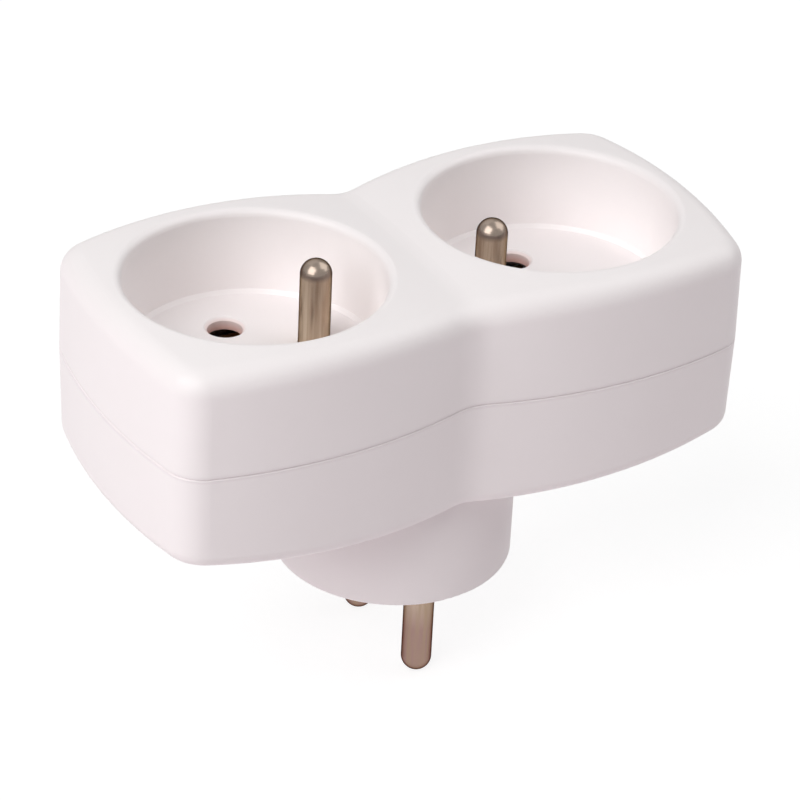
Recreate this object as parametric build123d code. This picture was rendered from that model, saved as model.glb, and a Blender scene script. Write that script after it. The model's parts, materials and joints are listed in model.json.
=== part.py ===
"""Two-way mains adapter: a round plug with two pins below, two earthed round sockets above.

Frame: origin at the centre of the plug's front face, +X along the row of sockets, +Z out of the
sockets. Millimetres.
"""
from build123d import *
from math import radians, tan
import os

# Plug
pin_diameter = 4.8
pin_spacing = 19.0
plug_pin_length = 18.5
pin_seat = 0.8
pin_relief = 0.2
plug_diameter = 37.3
plug_edge_radius = 0.5
plug_face_wall = 3.0
plug_wall = 2.0
earth_offset = 10.0
earth_hole_diameter = 5.6

# Sockets
socket_spacing = 50.0
recess_diameter = 39.0
recess_draft = 1.0
recess_wall = 1.8
recess_floor_height = 39.4
recess_floor_wall = 2.0
recess_foot = 0.6
rim_radius = 1.1
contact_hole_diameter = 5.4
contact_hole_chamfer = 0.5
earth_pin_length = 14.0

# Housing outline, at its widest on the parting plane
body_length = 99.6
body_depth = 50.6
side_bow_radius = 77.0
end_bow_radius = 90.0
corner_radius = 6.0
waist_radius = 10.0

# Housing heights and section
underside_height = 17.5
parting_height = 36.1
crown_height = 54.3
crown_radius = 215.0
underside_bow_radius = 390.0
top_edge_radius = 3.6
bottom_edge_radius = 2.4
draft = 1.0
upper_wall = 2.0
lower_wall = 2.8
top_wall = 2.2
base_wall = 1.7
lip_height = 1.5
lip_clearance = 0.15
seam_chamfer = 0.2

# Screws, driven from below into bosses under the recess floors
screw_offset = 11.0
screw_diameter = 3.0
screw_length = 12.0
screw_head_diameter = 5.6
screw_head_height = 2.0
screw_recess = 0.4
screw_clearance = 0.3
screw_point = 1.0
slot_width = 0.8
slot_depth = 0.9
boss_wall = 2.2
boss_joint_height = 25.0

# Brass strip, rivets and turned pins
strip = 1.0
bend_radius = 1.2
bar_width = 7.0
bar_height = 22.0
bar_setback = 0.6
leg_width = 6.0
shank_diameter = 3.4
peen_diameter = 5.2
peen_height = 1.0
peen_edge = 0.4
rivet_diameter = 2.4
rivet_head_diameter = 4.4
rivet_head_height = 0.8
seat_clearance = 0.05

# Socket contacts: two spring leaves that pinch the plug's pin
spring = 0.6
contact_tail = 8.0
contact_gap = 1.0
contact_reach = 4.0
contact_top = 35.6
contact_pinch_height = 31.5
contact_knee_height = 25.2
contact_width = 7.2
contact_pinch = 0.2
contact_flare = 1.0
contact_bend = 0.7
rivet_inset = 3.2

# Cradles for the bars in the lower housing
cradle_wall = 1.6
cradle_rise = 1.5
cradle_clearance = 0.15

# Earth bar, and the sprung sleeve behind the plug's earth hole
earth_bar_width = 6.0
earth_bar_overhang = 3.2
sleeve_clearance = 0.05
sleeve_wall = 0.8
sleeve_height = 14.0
sleeve_slit = 1.2
strap_width = 4.4
strap_overlap = 4.0
strap_overhang = 3.0
collar_clearance = 0.1
collar_wall = 1.4
collar_height = 5.0

# Places that follow from the sizes above
socket_x = socket_spacing / 2
pin_y = pin_spacing / 2
pin_radius = pin_diameter / 2
plug_radius = plug_diameter / 2
recess_radius = recess_diameter / 2
contact_hole_radius = contact_hole_diameter / 2
shank_hole_radius = shank_diameter / 2 + seat_clearance
rivet_hole_radius = rivet_diameter / 2 + seat_clearance
half_length = body_length / 2
half_depth = body_depth / 2
floor_underside = recess_floor_height - recess_floor_wall
earth_pin_x = socket_x - earth_offset
earth_bar_height = floor_underside - strip
screw_x = socket_x + screw_offset
underside_rise = underside_bow_radius - (underside_bow_radius**2 - screw_x**2) ** 0.5
screw_seat = underside_height + underside_rise + screw_recess + screw_head_height
screw_end = screw_seat + screw_length
bar_top = bar_height + strip
leg_y = pin_y + bar_width / 2 + bend_radius
contact_end = socket_x - pin_radius - contact_gap
contact_start = contact_end - contact_tail
bar_half_length = contact_end - bar_setback
rivet_x = contact_start + rivet_inset
sleeve_inner = pin_radius + sleeve_clearance
sleeve_outer = sleeve_inner + sleeve_wall
sleeve_top = plug_face_wall + sleeve_height
strap_x = earth_offset - sleeve_outer + sleeve_wall / 2
strap_height = earth_bar_height - sleeve_wall
far = 2 * body_length
close = 0.01

# Plastic left round the recesses at the top, and the shares of it that its two roundings may take
top_edge_share = 0.75
rim_share = 0.23
top_lean = (crown_height - parting_height) * tan(radians(draft))
land = min(half_length - socket_x, half_depth) - recess_radius - top_lean
top_round = min(top_edge_radius, top_edge_share * land)
rim_round = min(rim_radius, rim_share * land)

STAND = (Align.CENTER, Align.CENTER, Align.MIN)
HANG = (Align.CENTER, Align.CENTER, Align.MAX)


def bar(radius, low, high):
    """A round bar on the Z axis between two heights."""
    return Pos(0, 0, low) * Cylinder(radius, high - low, align=STAND)


def block(x, y, z):
    """A box between (low, high) limits on each axis."""
    spans = (x, y, z)
    middle = [(low + high) / 2 for low, high in spans]
    return Pos(*middle) * Box(*[high - low for low, high in spans])


def both_ends(shape):
    """A shape and its mirror image at the other end of the adapter."""
    return shape + mirror(shape, Plane.YZ)


def both_poles(shape):
    """A shape on the line side and its mirror image on the neutral side."""
    return shape + mirror(shape, Plane.XZ)


def ribbon(plane, points, width, thickness, bend):
    """A strip of sheet bent along a line of points in a plane, its width square to that plane."""
    path = plane * FilletPolyline(*points, radius=bend)
    start = Plane(origin=path @ 0, x_dir=plane.z_dir, z_dir=path % 0)
    return sweep(start * Rectangle(width, thickness), path)


def ball(radius, height):
    """A large ball centred at a height, its poles and seam turned away from the housing."""
    return Pos(0, 0, height) * Rot(90, 0, 0) * Sphere(radius)


def module_walls(inset, height):
    """Bowed walls with rounded corners round one socket, cut at the middle plane and drafted."""
    lean = height * tan(radians(draft))

    def bow(x, y, radius):
        return Pos(x, y) * Rot(0, 0, 180) * Cone(radius - inset, radius - inset - lean, height, align=STAND)

    side_centre = side_bow_radius - half_depth
    walls = bow(socket_x, side_centre, side_bow_radius) & bow(socket_x, -side_centre, side_bow_radius)
    walls = walls & bow(half_length - end_bow_radius, 0, end_bow_radius)
    walls = walls & block((0, far), (-far, far), (0, height))
    uprights = walls.edges().filter_by(lambda e: e.bounding_box().size.Z > height / 2)
    return fillet(uprights.filter_by_position(Axis.X, socket_x, far), corner_radius - inset)


def upper_module(inset, drop):
    """One module of the upper half, full, drawn in from the sides by inset and from its crown by drop."""
    walls = Pos(0, 0, parting_height) * module_walls(inset, crown_height - parting_height)
    return walls & Pos(socket_x, 0) * ball(crown_radius, crown_height - drop - crown_radius)


def lower_module(inset, rise):
    """One module of the lower half, full, drawn in from the sides by inset and from its base by rise."""
    walls = Pos(0, 0, parting_height) * Rot(180, 0, 0) * module_walls(inset, parting_height)
    return walls & ball(underside_bow_radius, underside_height + rise + underside_bow_radius)


def rounded(module, radius):
    """A module with the outline of its domed face rounded, but for the edge on the middle plane."""
    dome = module.faces().filter_by(GeomType.SPHERE)
    return fillet(dome.edges().filter_by_position(Axis.X, close, far), radius)


def joined(module):
    """A module and its mirror image, with a soft waist and valley where they meet."""
    pair = both_ends(module)
    return fillet(pair.edges().filter_by_position(Axis.X, -close, close), waist_radius)


def pin_hole(wall):
    """Stepped hole through a wall below height 0: a seat for a pin's shoulder, then its shank."""
    return bar(pin_radius + seat_clearance, -pin_seat, 0) + bar(shank_hole_radius, -wall, 0)


def make_upper_housing():
    """Moulded upper half: drafted shell, two hanging recess cups, screw bosses."""
    form = joined(rounded(upper_module(0, 0), top_round))
    form = chamfer(form.edges().group_by(Axis.Z)[0], seam_chamfer)
    below = block((-half_length, half_length), (-half_depth, half_depth), (0, parting_height))
    cup = Pos(socket_x, 0) * bar(recess_radius + recess_wall, floor_underside, far)
    boss = Pos(screw_x, 0) * bar(screw_diameter / 2 + boss_wall, boss_joint_height, floor_underside)
    shell = form - both_ends(upper_module(upper_wall, top_wall))
    shell = shell + (both_ends(cup) & (form + below)) + both_ends(boss)
    depth = crown_height - recess_floor_height
    foot = recess_radius - depth * tan(radians(recess_draft))
    recess = Cone(foot, recess_radius, depth, align=STAND)
    recess = chamfer(recess.edges().group_by(Axis.Z)[0], recess_foot)
    housing = shell - both_ends(Pos(socket_x, 0, recess_floor_height) * recess)
    rims = housing.edges().filter_by(GeomType.CIRCLE).filter_by(lambda e: e.radius > foot)
    rims = rims.filter_by_position(Axis.Z, crown_height - 2 * rim_radius, crown_height)
    housing = fillet(rims, rim_round)
    mouth_radius = contact_hole_radius + contact_hole_chamfer
    mouth = Cone(contact_hole_radius, mouth_radius, contact_hole_chamfer, align=HANG)
    contact_hole = bar(contact_hole_radius, floor_underside, recess_floor_height)
    contact_hole = Pos(socket_x, pin_y) * (contact_hole + Pos(0, 0, recess_floor_height) * mouth)
    earth_hole = Pos(earth_pin_x, 0, recess_floor_height) * pin_hole(recess_floor_wall)
    pilot = bar(screw_diameter / 2 + seat_clearance, boss_joint_height, screw_end + screw_point)
    return housing - both_ends(both_poles(contact_hole) + earth_hole + Pos(screw_x, 0) * pilot)


def make_lower_housing():
    """Moulded lower half: drafted shell, plug barrel, locating lip, cradles, screw posts, sleeve collar."""
    form = joined(rounded(lower_module(0, 0), bottom_edge_radius))
    outside = form + bar(plug_radius, 0, boss_joint_height)
    outside = fillet(outside.edges().group_by(Axis.Z)[0], plug_edge_radius)
    outside = chamfer(outside.edges().group_by(Axis.Z)[-1], seam_chamfer)
    cavity = both_ends(lower_module(lower_wall, base_wall))
    bore = bar(plug_radius - plug_wall, plug_face_wall, boss_joint_height)
    shell = outside - cavity - bore
    lip = module_walls(upper_wall + lip_clearance, lip_height) - module_walls(lower_wall, lip_height)
    lip = Pos(0, 0, parting_height) * both_ends(lip)
    notch_half = bar_width / 2 + cradle_clearance
    cradle_half = notch_half + cradle_wall
    cradle_x = (bar_half_length - cradle_wall, bar_half_length)
    cradle = block(cradle_x, (pin_y - cradle_half, pin_y + cradle_half), (0, bar_top + cradle_rise))
    cradle -= block(cradle_x, (pin_y - notch_half, pin_y + notch_half), (bar_height, far))
    well_radius = screw_head_diameter / 2 + screw_clearance
    post = Pos(screw_x, 0) * bar(well_radius + boss_wall, 0, boss_joint_height)
    inner = both_ends(both_poles(cradle) + post) & cavity
    collar_bore = sleeve_outer + collar_clearance
    collar = bar(collar_bore + collar_wall, 0, plug_face_wall + collar_height)
    collar -= bar(collar_bore, plug_face_wall, far)
    inner += Pos(earth_offset, 0) * collar & bore
    screw_hole = bar(well_radius, 0, screw_seat)
    screw_hole += bar(screw_diameter / 2 + screw_clearance, 0, boss_joint_height)
    shank_hole = Pos(0, pin_y) * Rot(180, 0, 0) * pin_hole(plug_face_wall)
    earth_hole = Pos(earth_offset, 0) * bar(earth_hole_diameter / 2, 0, plug_face_wall)
    holes = both_ends(Pos(screw_x, 0) * screw_hole) + both_poles(shank_hole) + earth_hole
    return shell + lip + inner - holes


def make_pin(length, grip):
    """Turned pin with a round tip, standing on height 0: a relieved root in its seat, then a peened shank."""
    tip = length - pin_radius
    pin = bar(pin_radius, 0, tip) + Pos(0, 0, tip) * Sphere(pin_radius)
    root = bar(pin_radius - pin_relief, -pin_seat, 0)
    peen = bar(peen_diameter / 2, -grip - peen_height, -grip)
    peen = chamfer(peen.edges().group_by(Axis.Z)[0], peen_edge)
    return pin + root + bar(shank_diameter / 2, -grip, -pin_seat) + peen


def make_bus_bar():
    """Line bar: a flat strip with a tab bent down to a foot that the plug pin is peened to."""
    side = (pin_y - bar_width / 2, pin_y + bar_width / 2)
    flat = block((-bar_half_length, bar_half_length), side, (bar_height, bar_top))
    strip_centre = bar_height + strip / 2
    foot_centre = plug_face_wall + strip / 2
    bends = [(pin_y, strip_centre), (leg_y, strip_centre), (leg_y, foot_centre)]
    tab = ribbon(Plane.YZ, bends + [(pin_y - leg_width / 2, foot_centre)], leg_width, strip, bend_radius)
    rivet_hole = Pos(rivet_x, pin_y) * bar(rivet_hole_radius, bar_height, bar_top)
    shank_hole = Pos(0, pin_y) * bar(shank_hole_radius, plug_face_wall, plug_face_wall + strip)
    return flat + tab - both_ends(rivet_hole) - shank_hole


def make_contact():
    """Right line contact: a folded channel whose two leaves reach past the tail and pinch a pin."""
    wide = (contact_width - spring) / 2
    tight = pin_radius - contact_pinch + spring / 2
    rise = [
        (wide, bar_top + spring / 2),
        (wide, contact_knee_height),
        (tight, contact_pinch_height),
        (tight + contact_flare, contact_top),
    ]
    section = [(-y, z) for y, z in reversed(rise)] + rise
    length = socket_x + contact_reach - contact_start
    channel = ribbon(Plane.YZ, section, length, spring, contact_bend)
    channel = Pos(contact_start + length / 2, pin_y) * channel
    window = block((contact_end, far), (0, 2 * pin_y), (bar_top, contact_knee_height))
    return channel - window - Pos(rivet_x, pin_y) * bar(rivet_hole_radius, bar_top, bar_top + spring)


def make_earth_bar():
    """Round-ended strip under both recess floors that joins the earth pins."""
    half = earth_pin_x + earth_bar_overhang - earth_bar_width / 2
    flat = Pos(0, 0, earth_bar_height) * extrude(SlotCenterToCenter(2 * half, earth_bar_width), strip)
    shank_hole = Pos(earth_pin_x, 0) * bar(shank_hole_radius, earth_bar_height, floor_underside)
    return flat - both_ends(shank_hole) - bar(rivet_hole_radius, earth_bar_height, floor_underside)


def make_sleeve():
    """Slit sleeve for the earth pin of the wall socket, with a strap up to the earth bar."""
    tube = bar(sleeve_outer, plug_face_wall, sleeve_top) - bar(sleeve_inner, plug_face_wall, sleeve_top)
    slit_y = (-sleeve_slit / 2, sleeve_slit / 2)
    tube = Pos(earth_offset, 0) * (tube - block((0, far), slit_y, (0, far)))
    tab_centre = strap_height + sleeve_wall / 2
    bends = [(strap_x, sleeve_top - strap_overlap), (strap_x, tab_centre), (-strap_overhang, tab_centre)]
    strap = ribbon(Plane.XZ, bends, strap_width, sleeve_wall, bend_radius)
    return tube + strap - bar(rivet_hole_radius, strap_height, earth_bar_height)


def make_rivet(low, high):
    """Rivet with a head at each end of a stack of sheet between two heights."""
    head = bar(rivet_head_diameter / 2, high, high + rivet_head_height)
    head = chamfer(head.edges().group_by(Axis.Z)[-1], peen_edge)
    tail = bar(rivet_head_diameter / 2, low - rivet_head_height, low)
    tail = chamfer(tail.edges().group_by(Axis.Z)[0], peen_edge)
    return head + bar(rivet_diameter / 2, low, high) + tail


def make_screw():
    """Self-tapping screw with a slotted head, driven upwards."""
    head = bar(screw_head_diameter / 2, screw_seat - screw_head_height, screw_seat)
    head = chamfer(head.edges().group_by(Axis.Z)[0], peen_edge)
    slot_z = (screw_seat - screw_head_height, screw_seat - screw_head_height + slot_depth)
    head -= block((-far, far), (-slot_width / 2, slot_width / 2), slot_z)
    shank = bar(screw_diameter / 2, screw_seat, screw_end)
    return head + chamfer(shank.edges().group_by(Axis.Z)[-1], screw_point)


def main():
    """Build every sub-part in place and write one STEP file for each."""
    plug_pin = Pos(0, pin_y) * Rot(180, 0, 0) * make_pin(plug_pin_length, plug_face_wall + strip)
    earth_pin = make_pin(earth_pin_length, recess_floor_wall + strip)
    earth_pin = Pos(earth_pin_x, 0, recess_floor_height) * earth_pin
    bus_bar = make_bus_bar()
    contact = make_contact()
    contact_rivet = Pos(rivet_x, pin_y) * make_rivet(bar_height, bar_top + spring)
    pieces = {
        "upper_housing": make_upper_housing(),
        "lower_housing": make_lower_housing(),
        "left_earth_pin": mirror(earth_pin, Plane.YZ),
        "right_earth_pin": earth_pin,
        "line_plug_pin": plug_pin,
        "neutral_plug_pin": mirror(plug_pin, Plane.XZ),
        "line_bus_bar": bus_bar,
        "neutral_bus_bar": mirror(bus_bar, Plane.XZ),
        "left_line_contact": mirror(contact, Plane.YZ),
        "right_line_contact": contact,
        "left_neutral_contact": Rot(0, 0, 180) * contact,
        "right_neutral_contact": mirror(contact, Plane.XZ),
        "earth_bar": make_earth_bar(),
        "plug_earth_sleeve": make_sleeve(),
        "contact_rivets": both_ends(both_poles(contact_rivet)) + make_rivet(strap_height, floor_underside),
        "housing_screws": both_ends(Pos(screw_x, 0) * make_screw()),
    }
    os.makedirs("parts", exist_ok=True)
    for name, piece in pieces.items():
        export_step(piece, f"parts/{name}.step")


main()
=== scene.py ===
"""Two-way mains adapter: finishes for its moulded housing, plated pins and brasswork, its threaded screws,
and a studio.

The sidebar panel lists one operator for each group of pieces and one for the stage. Settings are kept in
metres and radians, in the part's own frame, and their defaults are written in millimetres and degrees.
"""
import json
import math

import bmesh
import bpy
import numpy as np
from mathutils import Matrix, Vector


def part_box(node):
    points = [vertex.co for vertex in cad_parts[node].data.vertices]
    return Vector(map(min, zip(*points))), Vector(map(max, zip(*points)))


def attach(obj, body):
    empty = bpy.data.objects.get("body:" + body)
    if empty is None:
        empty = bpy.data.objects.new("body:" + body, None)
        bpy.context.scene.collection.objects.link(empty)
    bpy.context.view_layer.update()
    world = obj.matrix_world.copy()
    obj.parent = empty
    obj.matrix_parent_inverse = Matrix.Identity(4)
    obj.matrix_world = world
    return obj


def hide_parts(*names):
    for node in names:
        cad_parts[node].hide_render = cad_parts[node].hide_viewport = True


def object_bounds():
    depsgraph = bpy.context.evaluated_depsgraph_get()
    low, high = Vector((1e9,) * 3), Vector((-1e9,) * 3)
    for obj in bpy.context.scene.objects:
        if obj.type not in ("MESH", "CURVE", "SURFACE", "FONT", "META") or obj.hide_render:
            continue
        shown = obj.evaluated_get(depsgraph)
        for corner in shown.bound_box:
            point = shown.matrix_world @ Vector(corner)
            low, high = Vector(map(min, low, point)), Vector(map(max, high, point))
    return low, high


bl_info = {
    "name": "Two-Way Mains Adapter",
    "version": (1, 0, 0),
    "blender": (4, 5, 0),
    "location": "View3D > Sidebar > Adapter",
    "description": "Finishes and studio for a two-way mains adapter",
    "category": "Object",
}

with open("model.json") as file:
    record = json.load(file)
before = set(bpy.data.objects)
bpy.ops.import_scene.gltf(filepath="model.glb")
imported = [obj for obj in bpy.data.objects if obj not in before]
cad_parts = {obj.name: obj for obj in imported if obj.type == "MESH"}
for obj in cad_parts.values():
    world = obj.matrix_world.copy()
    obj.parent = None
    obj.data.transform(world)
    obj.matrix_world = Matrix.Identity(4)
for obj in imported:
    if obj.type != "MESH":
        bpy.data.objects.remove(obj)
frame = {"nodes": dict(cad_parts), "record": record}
CAD_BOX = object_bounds()
MM = 0.001
BODY = "root"

HOUSING_NODES = ("upper_housing", "lower_housing")
PIN_NODES = ("left_earth_pin", "right_earth_pin", "line_plug_pin", "neutral_plug_pin")
STRIP_NODES = ("line_bus_bar", "neutral_bus_bar", "earth_bar", "contact_rivets")
SPRING_NODES = (
    "plug_earth_sleeve",
    "left_line_contact",
    "right_line_contact",
    "left_neutral_contact",
    "right_neutral_contact",
)
SCREW_NODE = "housing_screws"

# The four contact holes mirror one another, so one of them gives the place and the radius of all.
HOLE = next(mount for mount in frame["record"]["mounts"] if mount["name"] == "right_line_hole")
HOLE_PLACE = (*HOLE["pos_m"][:2], 0.0)
HOLE_RADIUS = HOLE["dims"]["r_mm"] * MM
# Shares of that radius between which the painted red-brown shade on a hole's wall fades out.
HOLE_EDGE = (1.05, 1.2)

ABS_IOR = 1.53
# Noise of the flow clouds and the scuffs, and the more broken noise of the tarnish.
SOFT_NOISE = {"Detail": 3.0, "Roughness": 0.55}
BROKEN_NOISE = {"Detail": 5.0, "Roughness": 0.62}
# How those noises turn into a share of thin plating and a share of tarnish.
THIN_PLATING = {"From Min": 0.42, "From Max": 0.66, "To Max": 0.8}
TARNISH_SHARE = {"From Min": 0.45, "From Max": 0.8, "To Max": 0.6}
# How far the turned rings wander.
RING_WANDER = {"Distortion": 1.5, "Detail Scale": 0.5}
# Radians that a wave texture of scale 1 turns through in one metre.
WAVE_RATE = 20.0

# Columns of a screw's grid in the slot, on one side, in the slot again and on the other side.
SCREW_COLUMNS = (5, 23, 5, 23)
EDGE_ROWS = 6
THREAD_ROWS = 145
# Half the width of the thread's ridge, as a share of its pitch.
RIDGE_SHARE = 0.32
MERGE_DISTANCE = 0.001 * MM
SHARP_ANGLE = math.radians(35)

FLOOR_HALF_WIDTH = 3.0
LAMP_TARGET = Vector((0.0, 0.0, 0.03))
# Turn about +Z from +X and height angle of each lamp, in degrees.
LAMP_ANGLES = {"key": (198.0, 42.0), "side": (350.0, 45.0), "back": (90.0, 45.0)}
LAMP_DISTANCE = 1.0
LAMP_SIZE = 0.9
SENSOR_WIDTH = 36.0
WHITE = (1.0, 1.0, 1.0, 1.0)


def linear(hex_colour):
    """Linear RGB of an sRGB hex colour."""
    srgb = np.array([int(hex_colour[i : i + 2], 16) for i in (0, 2, 4)]) / 255
    return tuple(np.where(srgb <= 0.04045, srgb / 12.92, ((srgb + 0.055) / 1.055) ** 2.4))


def colour_property(name, description, hex_colour):
    """A colour setting whose default is an sRGB hex colour."""
    return bpy.props.FloatVectorProperty(
        name=name,
        description=description,
        default=linear(hex_colour),
        subtype="COLOR",
        size=3,
        min=0.0,
        max=1.0,
    )


def share_property(name, description, share):
    """A setting between 0 and 1."""
    return bpy.props.FloatProperty(
        name=name, description=description, default=share, subtype="FACTOR", min=0.0, max=1.0
    )


def length_property(name, description, millimetres, least=0.0):
    """A length setting, kept in metres."""
    return bpy.props.FloatProperty(
        name=name,
        description=description,
        default=millimetres * MM,
        min=least,
        unit="LENGTH",
        precision=6,
    )


def angle_property(name, description, degrees):
    """An angle setting, kept in radians."""
    return bpy.props.FloatProperty(
        name=name, description=description, default=math.radians(degrees), subtype="ANGLE"
    )


def power_property(name, description, watts):
    """A lamp's power."""
    return bpy.props.FloatProperty(name=name, description=description, default=watts, unit="POWER", min=0.0)


class AdapterHousing(bpy.types.PropertyGroup):
    """Finish of the moulded housing."""

    colour: colour_property("Colour", "Moulded plastic", "FAF5F5")
    cloud_colour: colour_property("Cloud colour", "Faint flow clouds in the plastic", "F7F1F1")
    cloud_size: length_property("Cloud size", "Width of a flow cloud", 18.0)
    grain_size: length_property("Grain size", "Width of a grain of the mould's texture", 0.55)
    grain_depth: length_property("Grain depth", "Depth of the mould's texture", 0.006)
    seam_height: length_property("Seam height", "Height of the joint between the halves", 36.1)
    # The seam colour is grime along the joint together with painted shade of its groove.
    seam_width: length_property("Seam width", "Half the width of the grime and painted shade along that joint", 0.8)
    seam_colour: colour_property("Seam grime and shade colour", "Grime and painted shade along that joint", "EFE8E9")
    # These three settings give painted red-brown shade and reflection of the brass contacts inside the
    # contact holes.
    rub_colour: colour_property("Hole shade colour", "Painted red-brown shade and reflection in the holes", "EBBFB4")
    rub_height: length_property("Hole shade height", "Height at which that red-brown is deepest", 37.0)
    rub_fade: length_property("Hole shade fade", "Distance above and below over which it fades out", 3.0)
    roughness: share_property("Roughness", "Roughness of the smoothest skin", 0.42)
    roughness_spread: share_property("Roughness spread", "Added where the skin is dullest", 0.10)


class AdapterPins(bpy.types.PropertyGroup):
    """Finish of the plated pins."""

    colour: colour_property("Colour", "Nickel plating that plugs slide along", "C3B29D")
    stain_colour: colour_property("Stain colour", "Where that plating is thin", "A08974")
    # The dome colour is greyer, unstained plating on the earth pins' tips, darkened as painted dark
    # reflection.
    dome_colour: colour_property("Dome plating and reflection colour", "Plating and painted dark reflection on the earth pins' round tips", "8A7D73")
    dome_height: length_property("Dome height", "Height at which those tips begin", 50.6)
    dome_blend: length_property("Dome blend", "Height over which the plating and painted reflection change there", 0.8)
    worn_colour: colour_property("Worn colour", "Brass that shows towards the plug pins' tips", "9C8079")
    edge_colour: colour_property("Edge colour", "Tint of the plating seen at a low angle", "564B42")
    scuff_width: length_property("Scuff width", "Width of a scuff along a pin", 0.9)
    scuff_length: length_property("Scuff length", "Length of a scuff along a pin", 14.0)
    wear_start: length_property("Wear start", "Length of plug pin, from its root, that is hardly worn", 1.0)
    wear_end: length_property("Wear end", "Length of plug pin after which it is fully worn", 10.0)
    ring_pitch: length_property("Ring pitch", "Spacing of the turned rings", 0.32)
    ring_depth: length_property("Ring depth", "Depth of the turned rings", 0.004)
    roughness: share_property("Roughness", "Roughness of the plating", 0.26)


class AdapterBrass(bpy.types.PropertyGroup):
    """Finish of the brass strips and the spring contacts."""

    strip_colour: colour_property("Strip colour", "Rolled brass strip", "C9A25C")
    spring_colour: colour_property("Spring colour", "Rolled spring bronze", "BE8A5A")
    tarnish_colour: colour_property("Tarnish colour", "Tarnish on both", "7E5A34")
    tarnish_size: length_property("Tarnish size", "Width of a tarnished patch", 4.0)
    streak_width: length_property("Streak width", "Width of a rolling streak", 0.18)
    streak_length: length_property("Streak length", "Length of a rolling streak", 9.0)
    streak_depth: length_property("Streak depth", "Depth of the rolling streaks", 0.003)
    roughness: share_property("Roughness", "Roughness of the brightest strip", 0.34)
    roughness_spread: share_property("Roughness spread", "Added where tarnish is heaviest", 0.15)


class AdapterScrews(bpy.types.PropertyGroup):
    """Shape and finish of the housing screws."""

    head_diameter: length_property("Head diameter", "Across the slotted head", 5.6)
    head_height: length_property("Head height", "Height of the head", 2.0)
    edge_radius: length_property("Edge radius", "Rounding of the head's edge", 0.4)
    slot_width: length_property("Slot width", "Width of the driver's slot", 0.8)
    slot_depth: length_property("Slot depth", "Depth of the driver's slot", 0.9)
    crest_diameter: length_property("Crest diameter", "Across the crests of the thread", 3.0)
    core_diameter: length_property("Core diameter", "Across the roots of the thread", 2.2)
    pitch: length_property("Pitch", "Climb of the thread in one turn", 1.1)
    point: length_property("Point", "Length of the blunt point", 1.0)
    colour: colour_property("Colour", "Zinc plating", "A9ACB0")
    dull_colour: colour_property("Dull colour", "Duller crystals of the plating", "8C9196")
    crystal_size: length_property("Crystal size", "Width of a crystal", 0.5)
    roughness: share_property("Roughness", "Roughness of the brightest crystal", 0.28)
    roughness_spread: share_property("Roughness spread", "Added on the dullest crystal", 0.2)


class AdapterStage(bpy.types.PropertyGroup):
    """Camera, lights and floor."""

    azimuth: angle_property("Azimuth", "Camera's turn about +Z", -30.51)
    elevation: angle_property("Elevation", "Camera's height angle", 31.34)
    roll: angle_property("Roll", "Camera's turn about its own axis", 2.87)
    aim_height: length_property("Aim height", "Height of the point the camera is set out from", 53.2)
    distance: length_property("Distance", "Camera's distance from that point", 506.1)
    offset_right: length_property("Offset right", "Camera's offset to its right", -0.873, least=-1.0)
    offset_up: length_property("Offset up", "Camera's offset upwards", -23.729, least=-1.0)
    lens: bpy.props.FloatProperty(
        name="Lens", description="Camera's focal length", default=153.39, min=1.0, unit="CAMERA"
    )
    floor_colour: colour_property("Floor colour", "Pale floor", "F6ECF0")
    key_power: power_property("Key power", "Power of the large lamp at the left", 9.6)
    side_power: power_property("Side power", "Power of the lamp at the right", 4.6)
    back_power: power_property("Back power", "Power of the lamp behind", 1.0)
    sky: share_property("Sky", "Strength of the even light all round", 0.01)
    glow: share_property("Glow", "White that the floor shows in its deepest shadow", 0.84)
    shade: share_property("Shade", "Paleness of the floor's white that a shadow takes away", 0.26)


def add_node(tree, kind, inputs=(), **values):
    """Add a node, set its attributes and fill its inputs: a socket is linked, anything else is a value."""
    node = tree.nodes.new(kind)
    for name, value in values.items():
        setattr(node, name, value)
    for name, value in dict(inputs).items():
        socket = node.inputs[name]
        if isinstance(value, bpy.types.NodeSocket):
            tree.links.new(value, socket)
        else:
            socket.default_value = value
    return node


def new_material(name):
    """A material and its empty node tree."""
    material = bpy.data.materials.new(name)
    material.use_nodes = True
    material.node_tree.nodes.clear()
    return material, material.node_tree


def opaque(colour):
    """A colour with full alpha."""
    return (*colour, 1.0)


def dress(nodes, material):
    """Give CAD nodes a material in place of their own."""
    for name in nodes:
        slots = frame["nodes"][name].data.materials
        slots.clear()
        slots.append(material)


def near(tree, value, middle, full, none):
    """1 where a value is within one distance of a middle, fading to 0 at a larger distance."""
    away = add_node(tree, "ShaderNodeMath", {0: value, 1: middle}, operation="SUBTRACT").outputs["Value"]
    away = add_node(tree, "ShaderNodeMath", {0: away}, operation="ABSOLUTE").outputs["Value"]
    return add_node(
        tree,
        "ShaderNodeMapRange",
        {"Value": away, "From Min": full, "From Max": none, "To Min": 1.0, "To Max": 0.0},
        interpolation_type="SMOOTHSTEP",
    ).outputs["Result"]


def painted_hole_shade(tree, place, height, finish):
    """Share of painted red-brown shade on the contact holes' walls, by distance from the nearest axis and by
    height.
    """
    quarter = add_node(tree, "ShaderNodeVectorMath", {0: place}, operation="ABSOLUTE").outputs["Vector"]
    plan = add_node(
        tree, "ShaderNodeVectorMath", {0: quarter, 1: (1.0, 1.0, 0.0)}, operation="MULTIPLY"
    ).outputs["Vector"]
    from_axis = add_node(
        tree, "ShaderNodeVectorMath", {0: plan, 1: HOLE_PLACE}, operation="DISTANCE"
    ).outputs["Value"]
    in_hole = near(tree, from_axis, 0.0, *(share * HOLE_RADIUS for share in HOLE_EDGE))
    at_height = near(tree, height, finish.rub_height, 0.0, finish.rub_fade)
    return add_node(
        tree, "ShaderNodeMath", {0: in_hole, 1: at_height}, operation="MULTIPLY"
    ).outputs["Value"]


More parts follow.
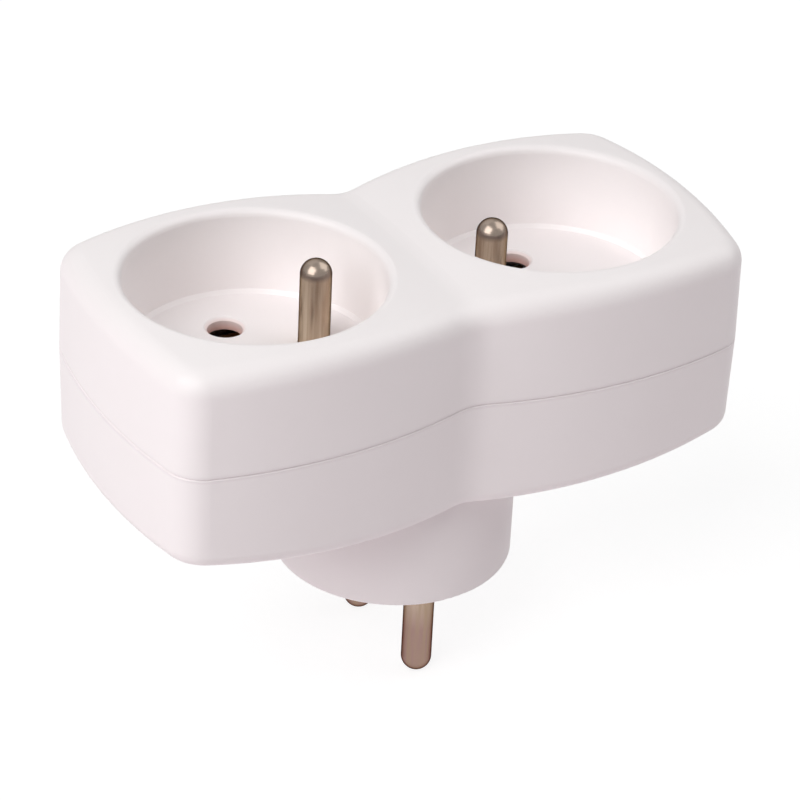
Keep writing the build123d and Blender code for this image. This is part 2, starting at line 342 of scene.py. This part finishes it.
def moulded_abs(finish):
    """White ABS from a spark-textured mould: an even white, a soft sheen and faint clouds where it flowed,
    with grime and painted shade along the joint, and painted red-brown shade and reflection in the holes.

    The grain of the mould is drawn coarser than a real one, so that it shows.
    """
    material, tree = new_material("moulded_white_abs")
    place = add_node(tree, "ShaderNodeTexCoord").outputs["Object"]
    height = add_node(tree, "ShaderNodeSeparateXYZ", {"Vector": place}).outputs["Z"]
    clouds = add_node(
        tree, "ShaderNodeTexNoise", {"Vector": place, "Scale": 1 / finish.cloud_size, **SOFT_NOISE}
    ).outputs["Fac"]
    plastic = add_node(
        tree,
        "ShaderNodeMix",
        {"Factor": clouds, "A": opaque(finish.colour), "B": opaque(finish.cloud_colour)},
        data_type="RGBA",
    ).outputs["Result"]
    # Grime along the joint between the halves, darkened further as painted shade of the groove.
    grime_and_shade = near(tree, height, finish.seam_height, 0.0, finish.seam_width)
    grime_and_shaded = add_node(
        tree,
        "ShaderNodeMix",
        {"Factor": grime_and_shade, "A": plastic, "B": opaque(finish.seam_colour)},
        data_type="RGBA",
    ).outputs["Result"]
    # Painted red-brown shade and reflection of the brass contacts on the contact holes' walls.
    hole_shade = painted_hole_shade(tree, place, height, finish)
    colour = add_node(
        tree,
        "ShaderNodeMix",
        {"Factor": hole_shade, "A": grime_and_shaded, "B": opaque(finish.rub_colour)},
        data_type="RGBA",
    ).outputs["Result"]
    grain = add_node(
        tree, "ShaderNodeTexNoise", {"Vector": place, "Scale": 1 / finish.grain_size}
    ).outputs["Fac"]
    gloss = add_node(
        tree,
        "ShaderNodeMapRange",
        {
            "Value": grain,
            "To Min": finish.roughness,
            "To Max": finish.roughness + finish.roughness_spread,
        },
    ).outputs["Result"]
    bump = add_node(
        tree, "ShaderNodeBump", {"Height": grain, "Distance": finish.grain_depth}
    ).outputs["Normal"]
    skin = add_node(
        tree,
        "ShaderNodeBsdfPrincipled",
        {"Base Color": colour, "Roughness": gloss, "Normal": bump, "IOR": ABS_IOR},
    ).outputs["BSDF"]
    add_node(tree, "ShaderNodeOutputMaterial", {"Surface": skin})
    return material


def wave_scale(pitch):
    """Scale of a wave texture whose bands repeat at a pitch: one turn of its sine in that distance."""
    return 2 * math.pi / (WAVE_RATE * pitch)


def nickel_plated_brass(finish):
    """Turned brass with a thin nickel plating: warm grey metal with fine rings, scuffed along each pin by
    the contacts it slides in, and browner towards the plug pins' tips.

    The rings are drawn coarser than a real turning mark, so that they show.
    """
    material, tree = new_material("nickel_plated_brass")
    place = add_node(tree, "ShaderNodeTexCoord").outputs["Object"]
    height = add_node(tree, "ShaderNodeSeparateXYZ", {"Vector": place}).outputs["Z"]
    across = 1 / finish.scuff_width
    along = add_node(
        tree, "ShaderNodeMapping", {"Vector": place, "Scale": (across, across, 1 / finish.scuff_length)}
    ).outputs["Vector"]
    scuffs = add_node(
        tree, "ShaderNodeTexNoise", {"Vector": along, "Scale": 1.0, **SOFT_NOISE}
    ).outputs["Fac"]
    worn = add_node(
        tree,
        "ShaderNodeMapRange",
        {"Value": height, "From Min": -finish.wear_start, "From Max": -finish.wear_end},
    ).outputs["Result"]
    plating = add_node(
        tree,
        "ShaderNodeMix",
        {"Factor": worn, "A": opaque(finish.colour), "B": opaque(finish.worn_colour)},
        data_type="RGBA",
    ).outputs["Result"]
    thin = add_node(tree, "ShaderNodeMapRange", {"Value": scuffs, **THIN_PLATING}).outputs["Result"]
    slid = add_node(
        tree,
        "ShaderNodeMix",
        {"Factor": thin, "A": plating, "B": opaque(finish.stain_colour)},
        data_type="RGBA",
    ).outputs["Result"]
    # On the earth pins' round tips the plating is greyer and darker; the darkness is painted dark
    # reflection.
    dome_top = finish.dome_height + finish.dome_blend
    dome = add_node(
        tree, "ShaderNodeMapRange", {"Value": height, "From Min": finish.dome_height, "From Max": dome_top}
    ).outputs["Result"]
    colour = add_node(
        tree,
        "ShaderNodeMix",
        {"Factor": dome, "A": slid, "B": opaque(finish.dome_colour)},
        data_type="RGBA",
    ).outputs["Result"]
    rings = add_node(
        tree,
        "ShaderNodeTexWave",
        {"Vector": place, "Scale": wave_scale(finish.ring_pitch), **RING_WANDER},
        bands_direction="Z",
    ).outputs["Fac"]
    bump = add_node(
        tree, "ShaderNodeBump", {"Height": rings, "Distance": finish.ring_depth}
    ).outputs["Normal"]
    skin = add_node(
        tree,
        "ShaderNodeBsdfPrincipled",
        {
            "Base Color": colour,
            "Metallic": 1.0,
            "Roughness": finish.roughness,
            "Specular Tint": opaque(finish.edge_colour),
            "Normal": bump,
        },
    ).outputs["BSDF"]
    add_node(tree, "ShaderNodeOutputMaterial", {"Surface": skin})
    return material


def rolled_strip(name, colour, finish):
    """Copper alloy strip from the rolling mill: long fine streaks along X, dulled in patches by tarnish.

    The streaks are drawn coarser than real ones, so that they show.
    """
    material, tree = new_material(name)
    place = add_node(tree, "ShaderNodeTexCoord").outputs["Object"]
    across = 1 / finish.streak_width
    along = add_node(
        tree, "ShaderNodeMapping", {"Vector": place, "Scale": (1 / finish.streak_length, across, across)}
    ).outputs["Vector"]
    streaks = add_node(tree, "ShaderNodeTexNoise", {"Vector": along, "Scale": 1.0}).outputs["Fac"]
    tarnish = add_node(
        tree, "ShaderNodeTexNoise", {"Vector": place, "Scale": 1 / finish.tarnish_size, **BROKEN_NOISE}
    ).outputs["Fac"]
    share = add_node(tree, "ShaderNodeMapRange", {"Value": tarnish, **TARNISH_SHARE}).outputs["Result"]
    tone = add_node(
        tree,
        "ShaderNodeMix",
        {"Factor": share, "A": opaque(colour), "B": opaque(finish.tarnish_colour)},
        data_type="RGBA",
    ).outputs["Result"]
    gloss = add_node(
        tree,
        "ShaderNodeMapRange",
        {
            "Value": tarnish,
            "To Min": finish.roughness,
            "To Max": finish.roughness + finish.roughness_spread,
        },
    ).outputs["Result"]
    bump = add_node(
        tree, "ShaderNodeBump", {"Height": streaks, "Distance": finish.streak_depth}
    ).outputs["Normal"]
    skin = add_node(
        tree,
        "ShaderNodeBsdfPrincipled",
        {"Base Color": tone, "Metallic": 1.0, "Roughness": gloss, "Normal": bump},
    ).outputs["BSDF"]
    add_node(tree, "ShaderNodeOutputMaterial", {"Surface": skin})
    return material


def zinc_plated_steel(finish):
    """Steel plated with bright zinc: cool grey metal, mottled where one crystal is duller than the next.

    The crystals are drawn coarser than real ones, so that they show.
    """
    material, tree = new_material("zinc_plated_steel")
    place = add_node(tree, "ShaderNodeTexCoord").outputs["Object"]
    crystals = add_node(
        tree, "ShaderNodeTexVoronoi", {"Vector": place, "Scale": 1 / finish.crystal_size}
    ).outputs["Color"]
    tone = add_node(
        tree,
        "ShaderNodeMix",
        {"Factor": crystals, "A": opaque(finish.colour), "B": opaque(finish.dull_colour)},
        data_type="RGBA",
    ).outputs["Result"]
    gloss = add_node(
        tree,
        "ShaderNodeMapRange",
        {
            "Value": crystals,
            "To Min": finish.roughness,
            "To Max": finish.roughness + finish.roughness_spread,
        },
    ).outputs["Result"]
    skin = add_node(
        tree, "ShaderNodeBsdfPrincipled", {"Base Color": tone, "Metallic": 1.0, "Roughness": gloss}
    ).outputs["BSDF"]
    add_node(tree, "ShaderNodeOutputMaterial", {"Surface": skin})
    return material


def screw_columns(screw):
    """Angles round a screw, and which of them are in its slot.

    Each corner where the slot leaves the head is there twice, once in the slot and once beside it.
    """
    corner = math.asin(screw.slot_width / screw.head_diameter)
    ends = (-corner, corner, math.pi - corner, math.pi + corner, 2 * math.pi - corner)
    angles = [np.linspace(start, end, count) for start, end, count in zip(ends, ends[1:], SCREW_COLUMNS)]
    return np.concatenate(angles), np.repeat((True, False, True, False), SCREW_COLUMNS)


def head_skin(screw, angles, in_slot):
    """Distance from the axis and height above the face, row by row, from the slot's middle over the head.

    The slot's wall stands where the distance times the sine of the angle is half its width. Past it the face
    is flat up to its edge, a quarter circle, and then the side runs straight to the seat.
    """
    radius, edge = screw.head_diameter / 2, screw.edge_radius
    with np.errstate(divide="ignore"):
        wall = np.minimum(screw.slot_width / 2 / np.abs(np.sin(angles)), radius)
    wall = np.where(in_slot, radius, wall)
    rings = radius - edge * (1 - np.sin(np.linspace(0, math.pi / 2, EDGE_ROWS)))
    face = np.maximum(np.concatenate(([0.0], rings))[:, None], wall)
    past = np.clip(face - (radius - edge), 0.0, edge)
    face_height = np.where(in_slot, screw.slot_depth, edge - np.sqrt(edge**2 - past**2))
    ones = np.ones_like(angles)
    distance = np.vstack((0 * ones, wall, face, radius * ones, radius * ones))
    floor, seat = screw.slot_depth * ones, screw.head_height * ones
    return distance, np.vstack((floor, floor, face_height, floor, seat))


def thread_skin(screw, angles, length):
    """Distance from the axis and height above the seat, row by row, from the seat to the tip.

    The thread is a rounded ridge on the core that climbs one pitch a turn, and a cone cuts it to a blunt
    point.
    """
    core, crest = screw.core_diameter / 2, screw.crest_diameter / 2
    height = np.linspace(0, length, THREAD_ROWS)[:, None] + 0 * angles
    turns = height / screw.pitch - angles / (2 * math.pi)
    ridge = np.clip(1 - ((turns % 1.0 - 0.5) / RIDGE_SHARE) ** 2, 0.0, 1.0)
    grown = np.clip(height / screw.pitch - 1.0, 0.0, 1.0)
    distance = np.minimum(core + (crest - core) * ridge * grown, crest - screw.point + length - height)
    return np.vstack((distance, 0 * angles)), np.vstack((height, height[-1]))


def screw_surfaces(screw, low, high):
    """Grid points and faces of two upright screws at the ends of a box.

    Head and thread are one grid of distance and height, turned about each screw's axis.
    """
    angles, in_slot = screw_columns(screw)
    head_distance, head_height = head_skin(screw, angles, in_slot)
    thread_distance, thread_height = thread_skin(screw, angles, high[2] - low[2] - screw.head_height)
    distance = np.vstack((head_distance, thread_distance))
    height = np.vstack((head_height, thread_height + screw.head_height)) + low[2]
    skin = np.stack((distance * np.cos(angles), distance * np.sin(angles), height), axis=-1)
    inset = screw.head_diameter / 2
    axes = np.array(((low[0] + inset, 0.0, 0.0), (high[0] - inset, 0.0, 0.0)))
    points = skin.reshape(1, -1, 3) + axes[:, None]
    rows, columns = distance.shape
    first = np.arange(rows * columns).reshape(rows, columns)[:-1, :-1].ravel()
    cells = np.stack((first, first + 1, first + columns + 1, first + columns), axis=1)
    faces = cells + np.array((0, rows * columns))[:, None, None]
    return points.reshape(-1, 3), faces.reshape(-1, 4)


def new_piece(name, points, faces, material):
    """A closed mesh from grid points: points that meet are merged and the faces turned outwards."""
    mesh = bpy.data.meshes.new(name)
    mesh.from_pydata(points.tolist(), [], faces.tolist())
    skin = bmesh.new()
    skin.from_mesh(mesh)
    bmesh.ops.remove_doubles(skin, verts=skin.verts, dist=MERGE_DISTANCE)
    bmesh.ops.recalc_face_normals(skin, faces=skin.faces)
    skin.to_mesh(mesh)
    skin.free()
    mesh.polygons.foreach_set("use_smooth", np.ones(len(mesh.polygons), dtype=bool))
    mesh.set_sharp_from_angle(angle=SHARP_ANGLE)
    mesh.materials.append(material)
    piece = bpy.data.objects.new(name, mesh)
    bpy.context.scene.collection.objects.link(piece)
    return piece


def seen_by_eye(tree):
    """1 on a ray from the camera, or one that metal or glass sends on, and 0 on rays that light the part."""
    path = add_node(tree, "ShaderNodeLightPath").outputs
    seen = path["Is Camera Ray"]
    for other in ("Is Glossy Ray", "Is Transmission Ray"):
        seen = add_node(
            tree, "ShaderNodeMath", {0: seen, 1: path[other]}, operation="MAXIMUM"
        ).outputs["Value"]
    return seen


def floor_finish(stage):
    """A matt floor whose glow and the light on it add up to white, less the shadow.

    It is clear from below, where it would hide the part.
    """
    material, tree = new_material("pale_floor")
    paint = add_node(tree, "ShaderNodeBsdfDiffuse", {"Color": opaque(stage.floor_colour)}).outputs["BSDF"]
    grey = opaque([stage.shade] * 3)
    shade = add_node(tree, "ShaderNodeBsdfDiffuse", {"Color": grey}).outputs["BSDF"]
    white = add_node(tree, "ShaderNodeEmission", {"Strength": stage.glow}).outputs["Emission"]
    backdrop = add_node(tree, "ShaderNodeAddShader", {0: shade, 1: white}).outputs["Shader"]
    upper = add_node(
        tree, "ShaderNodeMixShader", {0: seen_by_eye(tree), 1: paint, 2: backdrop}
    ).outputs["Shader"]
    underside = add_node(tree, "ShaderNodeNewGeometry").outputs["Backfacing"]
    clear = add_node(tree, "ShaderNodeBsdfTransparent").outputs["BSDF"]
    look = add_node(tree, "ShaderNodeMixShader", {0: underside, 1: upper, 2: clear}).outputs["Shader"]
    add_node(tree, "ShaderNodeOutputMaterial", {"Surface": look})
    return material


def add_floor(stage):
    """A wide square floor under the pins' tips."""
    half, height = FLOOR_HALF_WIDTH, CAD_BOX[0][2]
    corners = [(-half, -half, height), (half, -half, height), (half, half, height), (-half, half, height)]
    mesh = bpy.data.meshes.new("floor")
    mesh.from_pydata(corners, [], [(0, 1, 2, 3)])
    mesh.materials.append(floor_finish(stage))
    floor = bpy.data.objects.new("floor", mesh)
    bpy.context.scene.collection.objects.link(floor)


def add_lamp(name, azimuth, elevation, power):
    """A square area lamp, pointed at the part, at a turn about +Z from +X and a height angle in degrees."""
    azimuth, elevation = math.radians(azimuth), math.radians(elevation)
    level = math.cos(elevation)
    outward = Vector((level * math.cos(azimuth), level * math.sin(azimuth), math.sin(elevation)))
    light = bpy.data.lights.new(name, "AREA")
    light.shape = "SQUARE"
    light.size = LAMP_SIZE
    light.energy = power
    lamp = bpy.data.objects.new(name, light)
    lamp.location = LAMP_TARGET + LAMP_DISTANCE * outward
    lamp.rotation_euler = (-outward).to_track_quat("-Z", "Y").to_euler()
    bpy.context.scene.collection.objects.link(lamp)


def add_lights(stage):
    """A large soft lamp at the left, fainter ones at the right and behind, and a faint even sky that looks
    white."""
    for name, angles in LAMP_ANGLES.items():
        add_lamp(f"{name}_lamp", *angles, getattr(stage, f"{name}_power"))
    world = bpy.data.worlds.new("even_sky")
    world.use_nodes = True
    tree = world.node_tree
    strength = add_node(
        tree, "ShaderNodeMapRange", {"Value": seen_by_eye(tree), "To Min": stage.sky}
    ).outputs["Result"]
    background = tree.nodes["Background"]
    background.inputs["Color"].default_value = WHITE
    tree.links.new(strength, background.inputs["Strength"])
    bpy.context.scene.world = world


def add_camera(stage):
    """A camera at an azimuth, an elevation and a roll about its own axis."""
    azimuth, elevation, roll = stage.azimuth, stage.elevation, stage.roll
    level = Vector((math.cos(azimuth), math.sin(azimuth), 0.0))
    back = Vector(
        (
            math.sin(azimuth) * math.cos(elevation),
            -math.cos(azimuth) * math.cos(elevation),
            math.sin(elevation),
        )
    )
    upright = back.cross(level)
    right = math.cos(roll) * level + math.sin(roll) * upright
    up = math.cos(roll) * upright - math.sin(roll) * level
    place = Vector((0.0, 0.0, stage.aim_height)) + back * stage.distance
    place += right * stage.offset_right + up * stage.offset_up
    lens = bpy.data.cameras.new("camera")
    lens.sensor_width = SENSOR_WIDTH
    lens.lens = stage.lens
    camera = bpy.data.objects.new("camera", lens)
    turn = Matrix((right, up, back)).transposed().to_4x4()
    camera.matrix_world = Matrix.Translation(place) @ turn
    bpy.context.scene.collection.objects.link(camera)
    bpy.context.scene.camera = camera


class ADAPTER_OT_housing(bpy.types.Operator):
    """Give both halves of the housing their moulded finish"""

    bl_idname = "adapter.housing"
    bl_label = "Finish Housing"

    def execute(self, context):
        dress(HOUSING_NODES, moulded_abs(context.scene.adapter_housing))
        return {"FINISHED"}


class ADAPTER_OT_pins(bpy.types.Operator):
    """Give the plug pins and the earth pins their plating"""

    bl_idname = "adapter.pins"
    bl_label = "Finish Pins"

    def execute(self, context):
        dress(PIN_NODES, nickel_plated_brass(context.scene.adapter_pins))
        return {"FINISHED"}


class ADAPTER_OT_brasswork(bpy.types.Operator):
    """Give the bars, rivets, contacts and the earth sleeve their rolled finish"""

    bl_idname = "adapter.brasswork"
    bl_label = "Finish Brasswork"

    def execute(self, context):
        finish = context.scene.adapter_brass
        dress(STRIP_NODES, rolled_strip("rolled_brass_strip", finish.strip_colour, finish))
        dress(SPRING_NODES, rolled_strip("rolled_spring_bronze", finish.spring_colour, finish))
        return {"FINISHED"}


class ADAPTER_OT_screws(bpy.types.Operator):
    """Make the two threaded housing screws in place of the plain ones"""

    bl_idname = "adapter.screws"
    bl_label = "Make Screws"

    def execute(self, context):
        finish = context.scene.adapter_screws
        points, faces = screw_surfaces(finish, *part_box(SCREW_NODE))
        screws = new_piece("threaded_screws", points, faces, zinc_plated_steel(finish))
        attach(screws, BODY)
        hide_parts(SCREW_NODE)
        return {"FINISHED"}


class ADAPTER_OT_stage(bpy.types.Operator):
    """Set up the floor, the studio lights and the camera"""

    bl_idname = "adapter.stage"
    bl_label = "Set Stage"

    def execute(self, context):
        stage = context.scene.adapter_stage
        add_floor(stage)
        add_lights(stage)
        add_camera(stage)
        context.scene.view_settings.view_transform = "Standard"
        return {"FINISHED"}


GROUPS = {
    "adapter_housing": AdapterHousing,
    "adapter_pins": AdapterPins,
    "adapter_brass": AdapterBrass,
    "adapter_screws": AdapterScrews,
    "adapter_stage": AdapterStage,
}
OPERATORS = (
    ADAPTER_OT_housing,
    ADAPTER_OT_pins,
    ADAPTER_OT_brasswork,
    ADAPTER_OT_screws,
    ADAPTER_OT_stage,
)


class ADAPTER_PT_panel(bpy.types.Panel):
    """Settings and steps of the adapter"""

    bl_label = "Mains Adapter"
    bl_idname = "ADAPTER_PT_panel"
    bl_space_type = "VIEW_3D"
    bl_region_type = "UI"
    bl_category = "Adapter"

    def draw(self, context):
        for operator in OPERATORS:
            self.layout.operator(operator.bl_idname)
        for name, group in GROUPS.items():
            for setting in group.__annotations__:
                self.layout.prop(getattr(context.scene, name), setting)


def register():
    """Register the settings, the operators and the panel."""
    for name, group in GROUPS.items():
        bpy.utils.register_class(group)
        setattr(bpy.types.Scene, name, bpy.props.PointerProperty(type=group))
    for kind in (*OPERATORS, ADAPTER_PT_panel):
        bpy.utils.register_class(kind)


def unregister():
    """Undo register."""
    for kind in reversed((*OPERATORS, ADAPTER_PT_panel)):
        bpy.utils.unregister_class(kind)
    for name, group in GROUPS.items():
        delattr(bpy.types.Scene, name)
        bpy.utils.unregister_class(group)


def main():
    """Register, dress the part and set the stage."""
    register()
    bpy.ops.adapter.housing()
    bpy.ops.adapter.pins()
    bpy.ops.adapter.brasswork()
    bpy.ops.adapter.screws()
    bpy.ops.adapter.stage()


if __name__ == "__main__":
    main()
